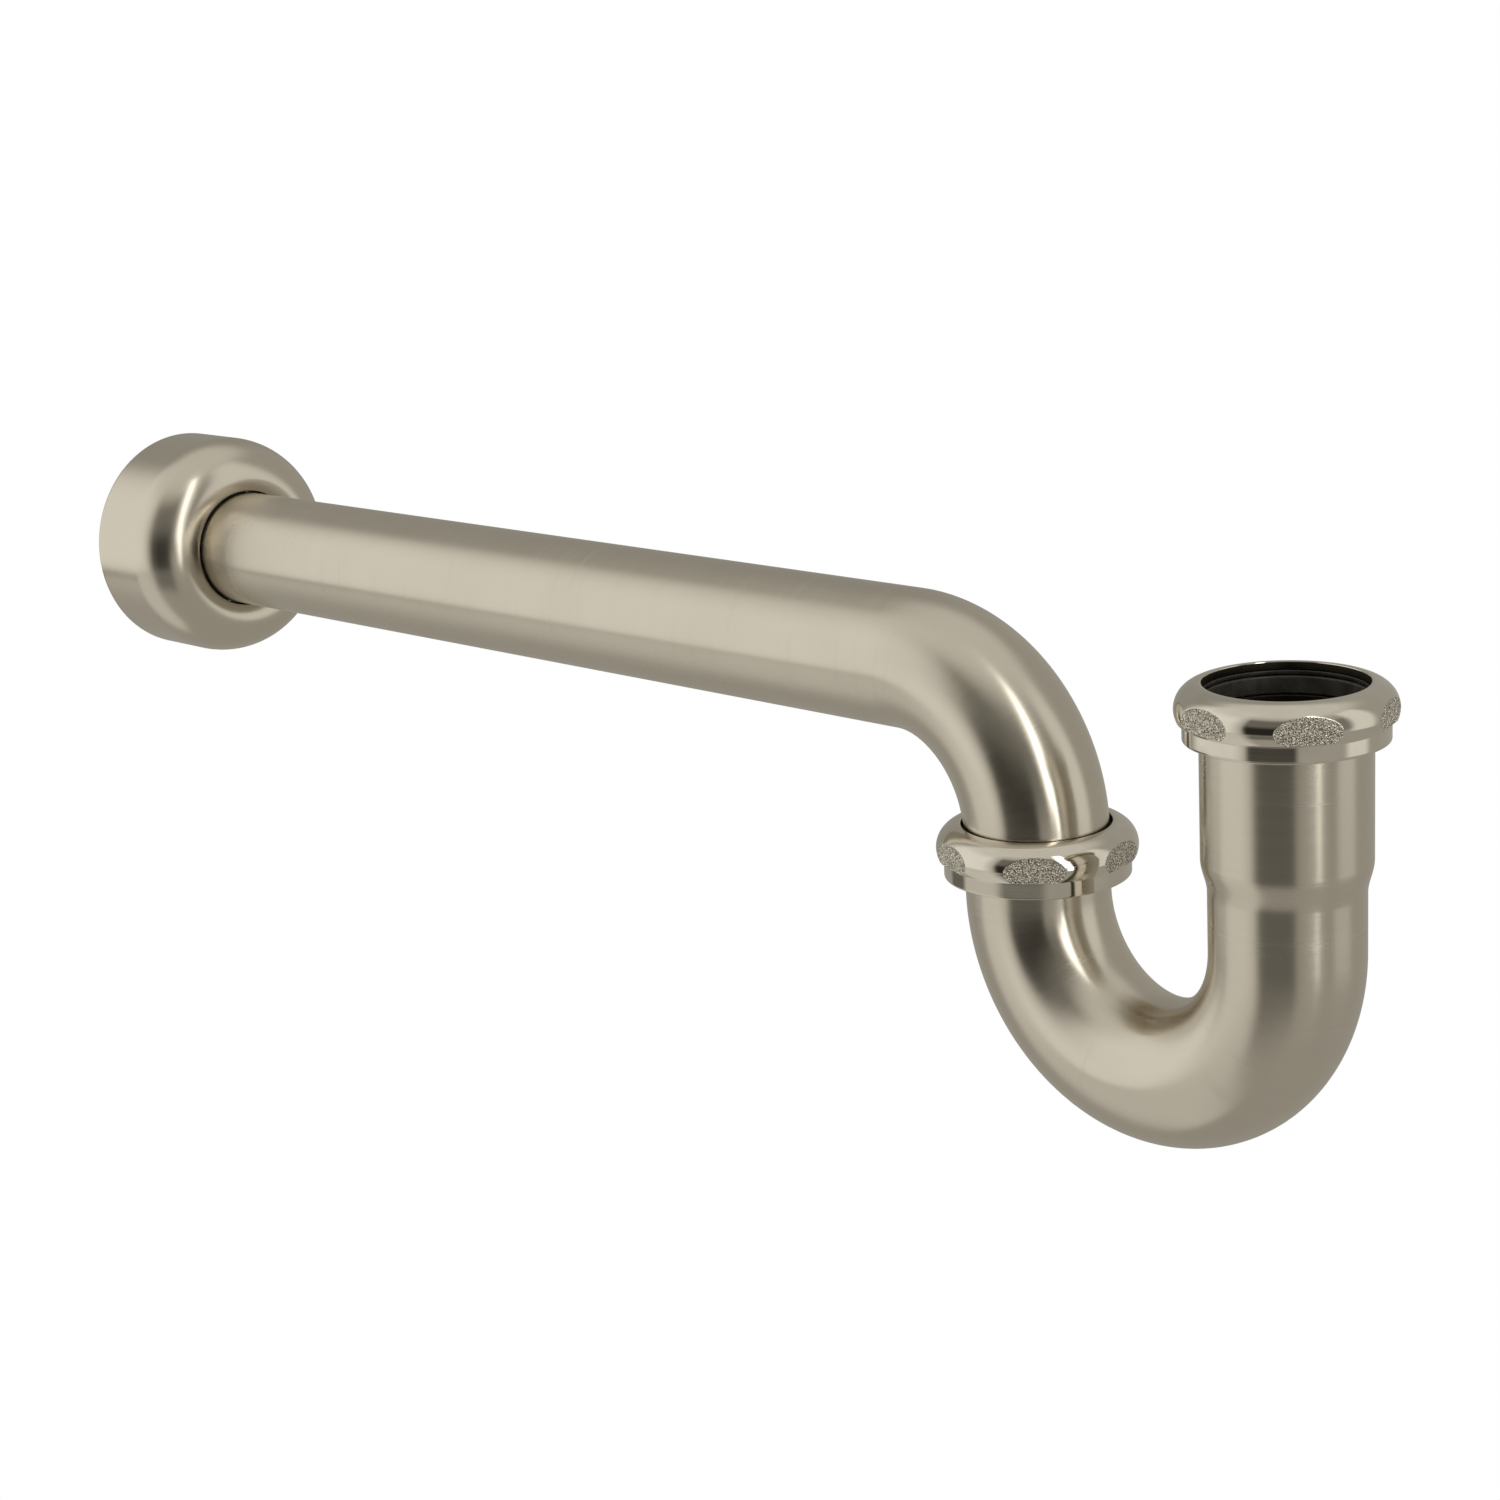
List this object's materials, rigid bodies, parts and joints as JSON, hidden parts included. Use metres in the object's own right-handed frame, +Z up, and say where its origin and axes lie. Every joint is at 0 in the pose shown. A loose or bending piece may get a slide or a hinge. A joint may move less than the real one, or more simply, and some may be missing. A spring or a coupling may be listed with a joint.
{
  "type": "p trap",
  "caption": "Tubular P trap: a J bend and a wall bend joined by a union nut, with a slip-nut inlet and a sliding wall flange, for draining a basin into the wall.",
  "frame": {"origin": "where the arm's axis leaves the wall, in the plane of the flange's back rim", "axes": "+X along the wall arm away from the wall, +Z up"},
  "size_m": [0.5071, 0.0742, 0.1532],
  "materials": {
    "brushed_nickel": "brushed nickel plate on drawn brass tube, with fine lengthwise and circular grain",
    "polished_nickel": "polished nickel plate, with sand-textured flats and a turned skirt",
    "bare_brass": "bare turned brass, satin",
    "black_rubber": "moulded black rubber, satin",
    "dark_nylon": "moulded dark nylon, smooth"
  },
  "bodies": {
    "wall_bend": {"wall_bend": "brushed_nickel"},
    "flange": {"wall_flange": "brushed_nickel"},
    "trap": {"j_bend": "brushed_nickel", "inlet_ferrule": "bare_brass", "outlet_ferrule": "bare_brass", "inlet_washer": "black_rubber", "outlet_washer": "black_rubber"},
    "outlet_ring": {"outlet_friction_ring": "dark_nylon"},
    "outlet_nut": {"outlet_slip_nut": "polished_nickel"},
    "inlet_ring": {"inlet_friction_ring": "dark_nylon"},
    "inlet_nut": {"inlet_slip_nut": "polished_nickel"}
  },
  "joints": [
    {"name": "flange_slide", "type": "slide", "parent": "wall_bend", "child": "flange", "axis": [1, 0, 0], "range_m": [0, 0.25]},
    {"name": "trap_swivel", "type": "hinge", "parent": "wall_bend", "child": "trap", "pos_m": [0.3875, 0, -0.0383], "axis": [0, 0, 1], "range_deg": [-135, 135]},
    {"name": "outlet_nut_lift", "type": "slide", "parent": "trap", "child": "outlet_ring", "axis": [0, 0, 1], "range_m": [0, 0.0019]},
    {"name": "outlet_nut_turn", "type": "hinge", "parent": "outlet_ring", "child": "outlet_nut", "pos_m": [0.3875, 0, -0.0383], "axis": [0, 0, 1], "range_deg": [0, 300]},
    {"name": "inlet_nut_lift", "type": "slide", "parent": "trap", "child": "inlet_ring", "axis": [0, 0, 1], "range_m": [0, 0.0056]},
    {"name": "inlet_nut_turn", "type": "hinge", "parent": "inlet_ring", "child": "inlet_nut", "pos_m": [0.46871, -0.0039, 0.0109], "axis": [0, 0, 1], "range_deg": [0, 900]}
  ],
  "couplings": [
    {"joint": "outlet_nut_lift", "follows": "outlet_nut_turn", "m_per_rad": 0.00035014},
    {"joint": "inlet_nut_lift", "follows": "inlet_nut_turn", "m_per_rad": 0.00035014}
  ]
}
